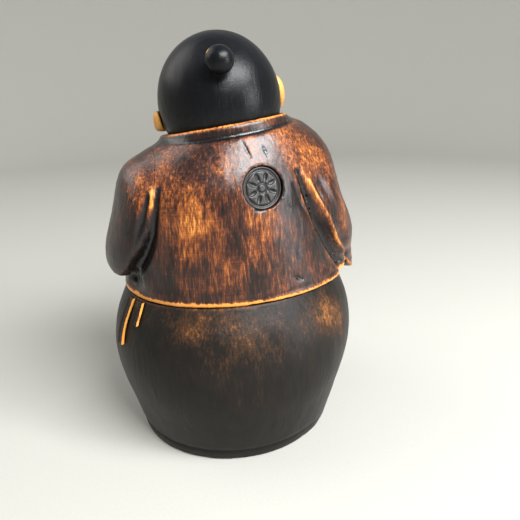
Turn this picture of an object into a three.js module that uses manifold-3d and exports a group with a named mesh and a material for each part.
// A stout carved wooden figure in a skullcap, wide-sleeved jacket and long robe,
// made as separate carved blocks that are pegged together.
// Millimetres. The origin is the middle of the foot, +Z is up, the chest faces -Y
// and the figure's left side is +X.
import * as THREE from 'three';
import { mergeVertices } from 'three/addons/utils/BufferGeometryUtils.js';
import Module from 'manifold-3d';

const wasm = await Module();
wasm.setup();

// Fits
const GAP = 0.3; // glue line or easing between neighbouring pieces

// Robe block
const ROBE_HEIGHT = 72;
const FOOT_HALF_WIDTH = 45.8;
const FOOT_BAND_HEIGHT = 4;
const BELLY_HALF_WIDTH = 56.3;
const BELLY_HEIGHT = 46;
const WAIST_HALF_WIDTH = 49;
const FOOT_DEPTH_RATIO = 0.956;
const WAIST_DEPTH_RATIO = 0.81;
const ROBE_SIDE_SHIFT = -1.9;

// Jacket block
const JACKET_HEIGHT = 65.4; // hem to the middle of the collar rim
const HEM_HALF_WIDTH = 52;
const HEM_HALF_DEPTH = 40.5;
const HEM_EDGE_HEIGHT = 2.4;
const CHEST_HALF_WIDTH = 46;
const CHEST_HALF_DEPTH = 36;
const SHOULDER_HALF_WIDTH = 38;
const SHOULDER_HALF_DEPTH = 30;
const LEDGE_HEIGHT = 8; // hem to the underside of the sleeve blocks' glue faces
const COLLAR_RADIUS = 27.1;
const COLLAR_RISE_AT_NAPE = 4.8;
const LEAN = THREE.MathUtils.degToRad(6.5); // the upper body leans to the figure's left

// Head and cap
const CAP_RADIUS = 25.9;
const CAP_HALF_HEIGHT = 28;
const CAP_WALL = 2.6;
const FACE_SET_BACK = 0.7; // the face lies this far inside the cap's surface
const HEAD_FORWARD = 4; // the neck stands this far forward of the middle
const HEAD_ABOVE_COLLAR = 10.2;
const HEAD_FLAT_DEPTH = 20; // centre of the head down to its flat underside
const HEAD_TURN = THREE.MathUtils.degToRad(-6); // as left by its owner
const HEAD_ROLL = THREE.MathUtils.degToRad(7); // the head leans further than the neck
const HEAD_TILT = THREE.MathUtils.degToRad(30); // the face looks up
const CAP_TILT = THREE.MathUtils.degToRad(27); // the cap sits back on the head
const BRIM_OFFSET = -1;
const TURNING_GAP = 0.5; // between the head and the bowl of the collar
const EAR_SIZE = new THREE.Vector3(3.8, 5, 8);
const EAR_STAND_OFF = 1.6;
const EAR_CLEARANCE = 1; // an ear lobe passes this far above the collar's side
const EAR_BACK = -4.5; // the ears' middle, from the centre of the head
const EAR_DROP = -7.5;
const NOSE_SIZE = new THREE.Vector3(3.6, 3.4, 4.8);
const NOSE_DROP = -2.5;
const CHIN_SIZE = new THREE.Vector3(7, 5, 5);
const CHIN_DROP = -14.5;
const BUTTON_RADIUS = 5.4;
const BUTTON_STEM_RADIUS = 2;
const BUTTON_STEM_LENGTH = 7;

// Pegs
const WAIST_DOWEL_RADIUS = 4;
const WAIST_DOWEL_LENGTH = 22;
const WAIST_DOWEL_SPACING = 44;
const SHOULDER_DOWEL_RADIUS = 2.5;
const SHOULDER_DOWEL_LENGTH = 14;
const SHOULDER_DOWEL_RISE = 0.5; // share of the jacket's height
const SHOULDER_DOWEL_SPACING = 14;
const NECK_DOWEL_RADIUS = 5;
const NECK_DOWEL_LENGTH = 26;
const NECK_DOWEL_IN_HEAD = 13;
const PEG_END_ROOM = 0.6; // a socket is this much deeper than its peg

// Sleeves and hands
const CUFF_WALL_SHARE = 0.78; // the inner cuff's size beside the sleeve's mouth
const CUFF_RECESS = 6;
const CUFF_REVEAL = 2.6;
const WRIST_RADIUS = 4;
const WRIST_DEPTH = 12; // from the sleeve's mouth to the end of the wrist peg
const PALM = new THREE.Vector3(8.5, 8, 4.6); // half length, half breadth, half thickness
const FINGER_RADIUS = 2;
const FINGER_LENGTH = 10;
const LEFT_PALM = new THREE.Vector3(-12, -4, -3.7); // from the middle of the sleeve's mouth
const RIGHT_PALM = new THREE.Vector3(7, -19, -10.5);
const RIGHT_CUFF_INSET = 6.3; // the cuff rests this far inside the robe's widest line
const RIGHT_CUFF_RISE = 5.2; // above the hem
const LEFT_GLUE_INSET = 10.3; // chest's side in to the glue flats, at their back folds
const RIGHT_GLUE_INSET = 20;
const RIGHT_TURN_INSET = 17.5;
const LEFT_FOLD_BACK = 21.7;
const RIGHT_FOLD_BACK = 31;

// Back roundel, sash and front buttons
const ROUNDEL_RADIUS = 8.2;
const ROUNDEL_THICKNESS = 2.6;
const ROUNDEL_SUNK = 0.9;
const ROUNDEL_ACROSS = -5.3;
const ROUNDEL_HEIGHT = 45.2; // above the hem
const SASH_THICKNESS = 1.6;
const SASH_WIDTH = 5;
const SASH_LONG = 20;
const SASH_SHORT = 9.4;
const SASH_LONG_BEARING = THREE.MathUtils.degToRad(12);
const SASH_SHORT_BEARING = THREE.MathUtils.degToRad(20);
const TOGGLE_RADIUS = 2.2;
const TOGGLE_PEG_RADIUS = 1.1;
const TOGGLE_PEG_LENGTH = 5;
const TOGGLE_HEIGHTS = [36, 44, 52]; // above the hem

// Facets
const BODY_SEGMENTS = 36;
const SLEEVE_SEGMENTS = 18;
const PEG_SEGMENTS = 12;
const STEPS = 2;

const wood = {
  jacket: new THREE.MeshStandardMaterial({ color: 0x4a2a17, roughness: 0.42, metalness: 0 }),
  robe: new THREE.MeshStandardMaterial({ color: 0x241c18, roughness: 0.5, metalness: 0 }),
  cap: new THREE.MeshStandardMaterial({ color: 0x0f0f11, roughness: 0.35, metalness: 0 }),
  skin: new THREE.MeshStandardMaterial({ color: 0xc88a3c, roughness: 0.45, metalness: 0 }),
  roundel: new THREE.MeshStandardMaterial({ color: 0x22201f, roughness: 0.5, metalness: 0 }),
  peg: new THREE.MeshStandardMaterial({ color: 0xa9814f, roughness: 0.7, metalness: 0 }),
};

const LEFT = 1;
const RIGHT = -1;
const sides = [['left', LEFT], ['right', RIGHT]];

const vec = (x, y, z) => new THREE.Vector3(x, y, z);
const UP = vec(0, 0, 1);
const figure = new THREE.Group();

// ---- solids ----

function solid(geometry) {
  const bare = geometry.clone();
  for (const name of Object.keys(bare.attributes)) {
    if (name !== 'position') {
      bare.deleteAttribute(name);
    }
  }
  const merged = mergeVertices(bare, 1e-4);
  return new wasm.Manifold(new wasm.Mesh({
    numProp: 3,
    vertProperties: new Float32Array(merged.attributes.position.array),
    triVerts: new Uint32Array(merged.index.array),
  }));
}

function addMesh(name, body, material) {
  const { vertProperties, triVerts } = body.getMesh();
  const geometry = new THREE.BufferGeometry();
  geometry.setAttribute('position', new THREE.BufferAttribute(vertProperties, 3));
  geometry.setIndex(new THREE.BufferAttribute(triVerts, 1));
  geometry.computeVertexNormals();
  const mesh = new THREE.Mesh(geometry, material);
  mesh.name = name;
  figure.add(mesh);
}

function placed(geometry, centre, along = UP, from = UP) {
  const turn = new THREE.Quaternion().setFromUnitVectors(from, along);
  return geometry.clone().applyMatrix4(new THREE.Matrix4().compose(centre, turn, vec(1, 1, 1)));
}

// A round peg about the line from start, running the given length along a unit vector.
function peg(start, along, length, radius, segments = PEG_SEGMENTS) {
  const cylinder = new THREE.CylinderGeometry(radius, radius, length, segments);
  const middle = start.clone().addScaledVector(along, length / 2);
  return solid(placed(cylinder, middle, along, vec(0, 1, 0)));
}

function ellipsoid(centre, halfSizes, turn, segments = 28) {
  const ball = new THREE.SphereGeometry(1, segments, Math.round(segments * 0.6));
  ball.rotateX(Math.PI / 2);
  return solid(ball.applyMatrix4(new THREE.Matrix4().compose(centre, turn, halfSizes)));
}

function signedVolume(points, faces) {
  const corner = (i) => vec(points[3 * faces[i]], points[3 * faces[i] + 1], points[3 * faces[i] + 2]);
  let volume = 0;
  for (let i = 0; i < faces.length; i += 3) {
    volume += corner(i).cross(corner(i + 1)).dot(corner(i + 2)) / 6;
  }
  return volume;
}

// A closed body through oval rings; each ring has a centre and two half-axis vectors.
function loft(rings, segments) {
  const points = [];
  const faces = [];
  for (const { centre, u, v } of rings) {
    for (let i = 0; i < segments; i += 1) {
      const angle = (2 * Math.PI * i) / segments;
      const point = centre.clone().addScaledVector(u, Math.cos(angle)).addScaledVector(v, Math.sin(angle));
      points.push(...point);
    }
  }
  const last = rings.length - 1;
  const first = rings.length * segments;
  points.push(...rings[0].centre, ...rings[last].centre);
  for (let i = 0; i < segments; i += 1) {
    const next = (i + 1) % segments;
    for (let ring = 0; ring < last; ring += 1) {
      const low = ring * segments;
      const high = low + segments;
      faces.push(low + i, low + next, high + next, low + i, high + next, high + i);
    }
    faces.push(first, next, i);
    faces.push(first + 1, last * segments + i, last * segments + next);
  }
  if (signedVolume(points, faces) < 0) {
    faces.reverse();
  }
  const geometry = new THREE.BufferGeometry();
  geometry.setAttribute('position', new THREE.Float32BufferAttribute(points, 3));
  geometry.setIndex(faces);
  return solid(geometry);
}

// Rings on smooth curves through the given ones.
function smoothRings(rings, steps = STEPS) {
  const curve = (key) => new THREE.CatmullRomCurve3(rings.map((ring) => ring[key]), false, 'catmullrom');
  const [centres, us, vs] = [curve('centre'), curve('u'), curve('v')];
  const count = (rings.length - 1) * steps;
  return Array.from({ length: count + 1 }, (_, i) => ({
    centre: centres.getPoint(i / count),
    u: us.getPoint(i / count),
    v: vs.getPoint(i / count),
  }));
}

function halfSpace(point, normal) {
  const size = 400;
  const box = new THREE.BoxGeometry(size, size, size);
  return solid(placed(box, point.clone().addScaledVector(normal, size / 2), normal));
}

// ---- robe ----

function levelRing(height, halfWidth, halfDepth, across = 0) {
  return { centre: vec(across, 0, height), u: vec(halfWidth, 0, 0), v: vec(0, halfDepth, 0) };
}

function robeRings(grow = 0) {
  const outline = [
    [FOOT_BAND_HEIGHT, FOOT_HALF_WIDTH + 1],
    [BELLY_HEIGHT * 0.39, FOOT_HALF_WIDTH + (BELLY_HALF_WIDTH - FOOT_HALF_WIDTH) * 0.46],
    [BELLY_HEIGHT * 0.7, FOOT_HALF_WIDTH + (BELLY_HALF_WIDTH - FOOT_HALF_WIDTH) * 0.84],
    [BELLY_HEIGHT, BELLY_HALF_WIDTH],
    [(BELLY_HEIGHT + ROBE_HEIGHT) / 2, (BELLY_HALF_WIDTH * 2 + WAIST_HALF_WIDTH) / 3 + 0.6],
    [ROBE_HEIGHT, WAIST_HALF_WIDTH],
  ];
  const rings = outline.map(([height, halfWidth]) => {
    const share = height / ROBE_HEIGHT;
    const ratio = FOOT_DEPTH_RATIO + (WAIST_DEPTH_RATIO - FOOT_DEPTH_RATIO) * share * share;
    return levelRing(height, halfWidth + grow, halfWidth * ratio + grow, ROBE_SIDE_SHIFT * share);
  });
  const foot = levelRing(0, FOOT_HALF_WIDTH + grow, FOOT_HALF_WIDTH * FOOT_DEPTH_RATIO + grow);
  return [foot, ...smoothRings(rings)];
}

const robeBlock = loft(robeRings(), BODY_SEGMENTS);
const robeClearance = loft(robeRings(GAP), BODY_SEGMENTS);

// ---- jacket ----

const HEM_Z = ROBE_HEIGHT + GAP;
const neckAxis = vec(Math.sin(LEAN), 0, Math.cos(LEAN));
const collarCentre = vec(-1.8, -HEAD_FORWARD, HEM_Z + JACKET_HEIGHT);
const headCentre = collarCentre.clone().addScaledVector(neckAxis, HEAD_ABOVE_COLLAR);

function leaningRing(centre, halfWidth, halfDepth, lean, nape = 0) {
  return {
    centre,
    u: vec(halfWidth * Math.cos(lean), 0, -halfWidth * Math.sin(lean)),
    v: vec(0, halfDepth, nape),
  };
}

function jacketRings(grow = 0) {
  const up = (share) => HEM_Z + JACKET_HEIGHT * share;
  const rings = [
    [vec(-4, 0, up(0) + HEM_EDGE_HEIGHT), HEM_HALF_WIDTH - 0.3, HEM_HALF_DEPTH - 0.2, 0, 0],
    [vec(-3, 0, up(0.12)), HEM_HALF_WIDTH - 2.4, HEM_HALF_DEPTH - 1, LEAN * 0.1, 0],
    [vec(-1.5, 0, up(0.3)), CHEST_HALF_WIDTH + 2, CHEST_HALF_DEPTH + 2, LEAN * 0.2, 0],
    [vec(-0.8, 0, up(0.52)), CHEST_HALF_WIDTH, CHEST_HALF_DEPTH, LEAN * 0.4, 0],
    [vec(-1.2, 0, up(0.72)), (CHEST_HALF_WIDTH + SHOULDER_HALF_WIDTH) / 2 + 1, CHEST_HALF_DEPTH - 2,
      LEAN * 0.6, 0],
    [vec(-2, -1, up(0.87)), SHOULDER_HALF_WIDTH, SHOULDER_HALF_DEPTH, LEAN * 0.8, 1.5],
    [collarCentre.clone().addScaledVector(neckAxis, -1.8), COLLAR_RADIUS + 2.4, COLLAR_RADIUS + 1, LEAN,
      COLLAR_RISE_AT_NAPE],
    [collarCentre, COLLAR_RADIUS, COLLAR_RADIUS, LEAN, COLLAR_RISE_AT_NAPE],
  ];
  const leaning = rings.map(([centre, halfWidth, halfDepth, lean, nape]) => (
    leaningRing(centre, halfWidth + grow, halfDepth + grow, lean, nape)));
  const hem = levelRing(HEM_Z - grow, HEM_HALF_WIDTH + grow, HEM_HALF_DEPTH + grow, -4.5);
  return [hem, ...smoothRings(leaning)];
}

// Each sleeve block is glued to a flat that is sawn on the jacket's side, above a ledge.
// The flat passes through a point of the back fold and faces outwards along a normal.
// On the right the fold turns outwards lower down, and a second saw cut follows it.
const glueFlats = {
  [LEFT]: {
    point: vec(CHEST_HALF_WIDTH - LEFT_GLUE_INSET, LEFT_FOLD_BACK, HEM_Z + JACKET_HEIGHT * 0.65),
    normal: vec(1, 0, 0.3).normalize(),
  },
  [RIGHT]: {
    point: vec(RIGHT_GLUE_INSET - CHEST_HALF_WIDTH, RIGHT_FOLD_BACK, HEM_Z + JACKET_HEIGHT * 0.546),
    normal: vec(-1, 0.3, 0.25).normalize(),
    turn: vec(RIGHT_TURN_INSET - CHEST_HALF_WIDTH, RIGHT_FOLD_BACK, HEM_Z + JACKET_HEIGHT * 0.39),
    turnNormal: vec(-0.616, -0.358, 0.7).normalize(),
  },
};

function shoulderWedge(sign, ease) {
  const { point, normal, turn, turnNormal } = glueFlats[sign];
  const sawn = (through, facing) => halfSpace(through.clone().addScaledVector(facing, -ease), facing);
  const block = sawn(point, normal).intersect(sawn(vec(0, 0, HEM_Z + LEDGE_HEIGHT), UP));
  return turn ? block.intersect(sawn(turn, turnNormal)) : block;
}

const torso = loft(jacketRings(), BODY_SEGMENTS);
const torsoClearance = loft(jacketRings(GAP), BODY_SEGMENTS);

// The head's shape, grown or shrunk, turned on the neck's axis.
const headUpright = new THREE.Quaternion().setFromUnitVectors(UP, neckAxis);

function headShape(radius, halfHeight) {
  return ellipsoid(headCentre, vec(radius, radius, halfHeight), headUpright, 28);
}

const seatFloor = halfSpace(headCentre.clone().addScaledVector(neckAxis, -HEAD_FLAT_DEPTH - GAP), neckAxis);
const headBowl = headShape(CAP_RADIUS + TURNING_GAP, CAP_HALF_HEIGHT + TURNING_GAP).intersect(seatFloor);

// ---- pegs and their sockets ----

const pegs = [];

// A peg and the socket that both of its neighbours are cut with.
function dowel(name, start, along, length, radius) {
  const socketStart = start.clone().addScaledVector(along, -PEG_END_ROOM);
  const entry = {
    name,
    body: peg(start, along, length, radius),
    socket: peg(socketStart, along, length + 2 * PEG_END_ROOM, radius + GAP),
  };
  pegs.push(entry);
  return entry;
}

const waistDowels = sides.map(([side, sign]) => {
  const start = vec((sign * WAIST_DOWEL_SPACING) / 2 + ROBE_SIDE_SHIFT, 0, HEM_Z - WAIST_DOWEL_LENGTH / 2);
  return dowel(`waist_dowel_${side}`, start, UP, WAIST_DOWEL_LENGTH, WAIST_DOWEL_RADIUS);
});

function shoulderDowel(side, sign, place, across) {
  const { point, normal } = glueFlats[sign];
  const middle = vec(0, across * SHOULDER_DOWEL_SPACING, HEM_Z + JACKET_HEIGHT * SHOULDER_DOWEL_RISE);
  middle.x = point.x - ((middle.y - point.y) * normal.y + (middle.z - point.z) * normal.z) / normal.x;
  const start = middle.addScaledVector(normal, -SHOULDER_DOWEL_LENGTH / 2);
  return dowel(`${side}_shoulder_dowel_${place}`, start, normal, SHOULDER_DOWEL_LENGTH, SHOULDER_DOWEL_RADIUS);
}

const shoulderDowels = Object.fromEntries(sides.map(([side, sign]) => [
  side, [shoulderDowel(side, sign, 'front', -0.5), shoulderDowel(side, sign, 'rear', 0.5)],
]));

const neckDowel = dowel('neck_dowel',
  headCentre.clone().addScaledVector(neckAxis, -HEAD_FLAT_DEPTH + NECK_DOWEL_IN_HEAD - NECK_DOWEL_LENGTH),
  neckAxis, NECK_DOWEL_LENGTH, NECK_DOWEL_RADIUS);

// ---- sleeves, inner cuffs and hands ----

// Rings of a sleeve: across from the chest's side, forward, share of the jacket's height,
// then the two half axes.
function sleeveRings(sign, rows) {
  return smoothRings(rows.map(([across, back, rise, u, v]) => ({
    centre: vec(sign * (CHEST_HALF_WIDTH + across), back, HEM_Z + JACKET_HEIGHT * rise),
    u: vec(sign * u[0], u[1], u[2]),
    v: vec(sign * v[0], v[1], v[2]),
  })));
}

const leftSleeveRings = sleeveRings(LEFT, [
  [-18, 1, 0.68, [3, 0, 13], [0, 13, 0]],
  [-10, 1, 0.64, [9, 0, 10], [0, 18, 0]],
  [-6, 2, 0.48, [9.5, 0, 4], [-1, 20, 0]],
  [-4, 0, 0.29, [11, 0, 0], [0, 19, -3]],
  [-4, -6, 0.21, [11, 2, 0], [1, 12, -9]],
  [-11, -24, 0.225, [8, -5, 0], [0, 1, -12]],
  [-27, -42, 0.225, [7, -5, 0], [0, -1, -13]],
]);
const rightSleeveRings = sleeveRings(RIGHT, [
  [-15, 1, 0.76, [4, 0, 14], [0, 14, 0]],
  [-7, 2, 0.67, [9.5, 0, 11], [-4, 21, 0]],
  [-3, 3, 0.49, [10, 0, 3.5], [-5, 24, -2]],
  [0.5, 0, 0.36, [12, 0, 0], [2, 20, -8]],
  [BELLY_HALF_WIDTH - RIGHT_CUFF_INSET - CHEST_HALF_WIDTH, -11, RIGHT_CUFF_RISE / JACKET_HEIGHT,
    [10, -6, 0], [12, 16, -12]],
]);

// The mouth of a sleeve and the direction that its hand comes out.
function mouthOf(rings) {
  const { centre, u, v } = rings[rings.length - 1];
  const out = u.clone().cross(v).normalize();
  if (out.dot(rings[rings.length - 1].centre.clone().sub(rings[rings.length - 2].centre)) < 0) {
    out.negate();
  }
  return { centre, u, v, out };
}

function mouthPlug(mouth, from, to, shrink) {
  const ring = (depth) => {
    const fit = (axis) => axis.clone().multiplyScalar(CUFF_WALL_SHARE - shrink / axis.length());
    return { centre: mouth.centre.clone().addScaledVector(mouth.out, depth), u: fit(mouth.u), v: fit(mouth.v) };
  };
  return loft([ring(from), ring(to)], SLEEVE_SEGMENTS);
}

function capsule(start, end, radius) {
  const along = end.clone().sub(start);
  const shape = new THREE.CapsuleGeometry(radius, along.length(), 2, 8);
  const middle = start.clone().add(end).multiplyScalar(0.5);
  return solid(placed(shape, middle, along.normalize(), vec(0, 1, 0)));
}

// A resting hand: palm, four fingers and a thumb, joined to a wrist peg.
function hand(mouth, palmCentre, along, normal) {
  const across = normal.clone().cross(along).normalize();
  const basis = new THREE.Matrix4().makeBasis(along, across, normal);
  const turn = new THREE.Quaternion().setFromRotationMatrix(basis);
  const at = (a, b, c) => palmCentre.clone().addScaledVector(along, a).addScaledVector(across, b)
    .addScaledVector(normal, c);
  let body = ellipsoid(palmCentre, PALM, turn, 14);
  for (let finger = 0; finger < 4; finger += 1) {
    const side = (finger - 1.5) * FINGER_RADIUS * 1.75;
    const reach = FINGER_LENGTH - Math.abs(finger - 1.3);
    body = body.add(capsule(at(PALM.x * 0.4, side, 0.6), at(PALM.x * 0.4 + reach, side, -0.9), FINGER_RADIUS));
  }
  const thumbRoot = at(-PALM.x * 0.2, PALM.y * 0.5, 1);
  body = body.add(capsule(thumbRoot, at(PALM.x * 0.6, PALM.y * 1.15, 0.6), FINGER_RADIUS));
  body = body.add(capsule(mouth.centre, at(-PALM.x * 0.5, 0, 0), WRIST_RADIUS));
  const cuffFace = mouth.centre.clone().addScaledVector(mouth.out, CUFF_REVEAL + GAP);
  const wristEnd = mouth.centre.clone().addScaledVector(mouth.out, -WRIST_DEPTH);
  const wrist = peg(wristEnd, mouth.out, WRIST_DEPTH + CUFF_REVEAL + WRIST_RADIUS, WRIST_RADIUS);
  return body.intersect(halfSpace(cuffFace, mouth.out)).add(wrist);
}

function arm(side, sign, rings, palmOffset, along, normal) {
  const wedge = shoulderWedge(sign, 0);
  const bodyClearance = torsoClearance.subtract(wedge).add(robeClearance);
  const mouth = mouthOf(rings);
  const wristHole = peg(mouth.centre.clone().addScaledVector(mouth.out, -WRIST_DEPTH - PEG_END_ROOM), mouth.out,
    WRIST_DEPTH * 2, WRIST_RADIUS + GAP);
  const recess = mouthPlug(mouth, -CUFF_RECESS, CUFF_RECESS, 0);
  let sleeve = loft(rings, SLEEVE_SEGMENTS).add(torso.intersect(wedge)).subtract(bodyClearance)
    .subtract(headBowl).subtract(recess).subtract(wristHole);
  for (const { socket } of shoulderDowels[side]) {
    sleeve = sleeve.subtract(socket);
  }
  const innerCuff = mouthPlug(mouth, -CUFF_RECESS + GAP, CUFF_REVEAL, GAP).subtract(bodyClearance)
    .subtract(torso);
  addMesh(`${side}_sleeve`, sleeve, wood.jacket);
  addMesh(`${side}_inner_cuff`, innerCuff.subtract(wristHole), wood.jacket);
  const palm = hand(mouth, mouth.centre.clone().add(palmOffset), along.normalize(), normal.normalize());
  addMesh(`${side}_hand`, palm.subtract(bodyClearance), wood.skin);
}

// ---- assembly ----

function roundel(centre, outward, radius, thickness) {
  return peg(centre.clone().addScaledVector(outward, -thickness), outward, thickness, radius, 28);
}

const roundelOut = vec(-0.1, 1, 0.18).normalize();
const roundelFace = vec(ROUNDEL_ACROSS, CHEST_HALF_DEPTH - 2.3 - ROUNDEL_SUNK, HEM_Z + ROUNDEL_HEIGHT);
const SOCKET_MOUTH = 6; // a socket's cutter stands this far out of the wood
const roundelSocket = roundel(roundelFace.clone().addScaledVector(roundelOut, SOCKET_MOUTH), roundelOut,
  ROUNDEL_RADIUS + GAP, ROUNDEL_THICKNESS + GAP + SOCKET_MOUTH);

// Where a level line forward from the jacket's middle meets its front.
function toggleSeat(rise) {
  const rings = jacketRings();
  const height = HEM_Z + rise;
  const above = rings.findIndex((ring) => ring.centre.z > height);
  const [low, high] = [rings[above - 1], rings[above]];
  const share = (height - low.centre.z) / (high.centre.z - low.centre.z);
  const front = (ring) => ring.centre.y - ring.v.y;
  return vec(0, front(low) + (front(high) - front(low)) * share, height);
}

const toggleOut = vec(0, -1, 0.15).normalize();
const toggles = TOGGLE_HEIGHTS.map((rise, i) => {
  const seat = toggleSeat(rise).addScaledVector(toggleOut, 0.4);
  const start = seat.clone().addScaledVector(toggleOut, -TOGGLE_PEG_LENGTH);
  const knot = ellipsoid(seat.clone().addScaledVector(toggleOut, TOGGLE_RADIUS * 0.8 + GAP),
    vec(TOGGLE_RADIUS, TOGGLE_RADIUS, TOGGLE_RADIUS), new THREE.Quaternion(), 8);
  return {
    name: `front_toggle_${i + 1}`,
    body: peg(start, toggleOut, TOGGLE_PEG_LENGTH + TOGGLE_RADIUS, TOGGLE_PEG_RADIUS, 8).add(knot),
    socket: peg(start.clone().addScaledVector(toggleOut, -PEG_END_ROOM), toggleOut, TOGGLE_PEG_LENGTH + 4,
      TOGGLE_PEG_RADIUS + GAP, 8),
  };
});

function robe() {
  return waistDowels.reduce((body, { socket }) => body.subtract(socket), robeBlock);
}

function jacket() {
  let body = torso.subtract(headBowl).subtract(roundelSocket);
  for (const [, sign] of sides) {
    body = body.subtract(shoulderWedge(sign, GAP));
  }
  const cutters = [...waistDowels, ...shoulderDowels.left, ...shoulderDowels.right, neckDowel, ...toggles];
  for (const { socket } of cutters) {
    body = body.subtract(socket);
  }
  return body;
}

// A sash end: a strip of the robe's own outline, moved out from it, hanging from the hem.
function sashTail(bearing, length) {
  const outline = loft(robeRings(GAP + SASH_THICKNESS), BODY_SEGMENTS).subtract(robeClearance);
  const out = vec(Math.cos(bearing), Math.sin(bearing), 0);
  const strip = new THREE.BoxGeometry(40, SASH_WIDTH, length);
  strip.rotateZ(bearing);
  const top = HEM_Z - 2 * GAP;
  const middle = vec(ROBE_SIDE_SHIFT, 0, top - length / 2).addScaledVector(out, WAIST_HALF_WIDTH);
  return outline.intersect(solid(strip.translate(...middle)));
}

const faceTurn = new THREE.Quaternion().setFromAxisAngle(neckAxis, HEAD_TURN).multiply(headUpright)
  .multiply(new THREE.Quaternion().setFromAxisAngle(vec(0, 1, 0), HEAD_ROLL))
  .multiply(new THREE.Quaternion().setFromAxisAngle(vec(1, 0, 0), -HEAD_TILT));
const inHead = (x, y, z) => headCentre.clone().add(vec(x, y, z).applyQuaternion(faceTurn));
const capAxis = vec(0, Math.sin(CAP_TILT), Math.cos(CAP_TILT)).applyQuaternion(faceTurn);
const brimPoint = (offset) => headCentre.clone().addScaledVector(capAxis, BRIM_OFFSET + offset);
const capSurface = CAP_RADIUS + (CAP_HALF_HEIGHT - CAP_RADIUS) * 0.45;
const stemStart = headCentre.clone().addScaledVector(capAxis, capSurface - BUTTON_STEM_LENGTH);
const stemSocket = peg(stemStart.clone().addScaledVector(capAxis, -PEG_END_ROOM), capAxis,
  BUTTON_STEM_LENGTH + 6, BUTTON_STEM_RADIUS + GAP);

const aboveHeadFlat = halfSpace(headCentre.clone().addScaledVector(neckAxis, -HEAD_FLAT_DEPTH), neckAxis);

function head() {
  const face = headShape(CAP_RADIUS - FACE_SET_BACK, CAP_HALF_HEIGHT - FACE_SET_BACK)
    .subtract(halfSpace(brimPoint(0), capAxis));
  let body = headShape(CAP_RADIUS - CAP_WALL, CAP_HALF_HEIGHT - CAP_WALL).add(face);
  body = body.intersect(aboveHeadFlat);
  const front = CAP_RADIUS - FACE_SET_BACK;
  const aboveCollar = halfSpace(headCentre.clone()
    .addScaledVector(neckAxis, EAR_CLEARANCE - HEAD_ABOVE_COLLAR), neckAxis);
  for (const [, sign] of sides) {
    const ear = ellipsoid(inHead(sign * (front + EAR_STAND_OFF), EAR_BACK, EAR_DROP), EAR_SIZE, faceTurn, 12);
    body = body.add(ear.intersect(aboveCollar).subtract(halfSpace(brimPoint(-GAP), capAxis)));
  }
  const nose = ellipsoid(inHead(0, -front - 0.6, NOSE_DROP), NOSE_SIZE, faceTurn, 14);
  const chin = ellipsoid(inHead(0, -front * 0.79, CHIN_DROP), CHIN_SIZE, faceTurn, 14);
  return body.add(nose).add(chin).subtract(neckDowel.socket).subtract(stemSocket);
}

function cap() {
  const outer = headShape(CAP_RADIUS, CAP_HALF_HEIGHT);
  const inner = headShape(CAP_RADIUS - CAP_WALL + GAP, CAP_HALF_HEIGHT - CAP_WALL + GAP);
  return outer.intersect(aboveHeadFlat).intersect(halfSpace(brimPoint(GAP), capAxis)).subtract(inner)
    .subtract(stemSocket);
}

function capButton() {
  const upright = new THREE.Quaternion().setFromUnitVectors(UP, capAxis);
  const ball = ellipsoid(headCentre.clone().addScaledVector(capAxis, capSurface + BUTTON_RADIUS * 0.85 + GAP),
    vec(BUTTON_RADIUS, BUTTON_RADIUS, BUTTON_RADIUS * 0.94), upright, 16);
  return peg(stemStart, capAxis, BUTTON_STEM_LENGTH + BUTTON_RADIUS, BUTTON_STEM_RADIUS).add(ball);
}

addMesh('robe', robe(), wood.robe);
addMesh('jacket', jacket(), wood.jacket);
arm('left', LEFT, leftSleeveRings, LEFT_PALM, vec(-0.95, -0.12, -0.28), vec(0.12, -1, -0.05));
arm('right', RIGHT, rightSleeveRings, RIGHT_PALM, vec(0.62, -0.7, -0.3), vec(-0.75, -0.66, 0));
addMesh('back_roundel', roundel(roundelFace, roundelOut, ROUNDEL_RADIUS, ROUNDEL_THICKNESS), wood.roundel);
addMesh('sash_tail_long', sashTail(SASH_LONG_BEARING, SASH_LONG), wood.robe);
addMesh('sash_tail_short', sashTail(SASH_SHORT_BEARING, SASH_SHORT), wood.robe);
for (const { name, body } of toggles) {
  addMesh(name, body, wood.cap);
}
for (const { name, body } of pegs) {
  addMesh(name, body, wood.peg);
}
addMesh('head', head(), wood.skin);
addMesh('cap', cap(), wood.cap);
addMesh('cap_button', capButton(), wood.cap);

export default figure;
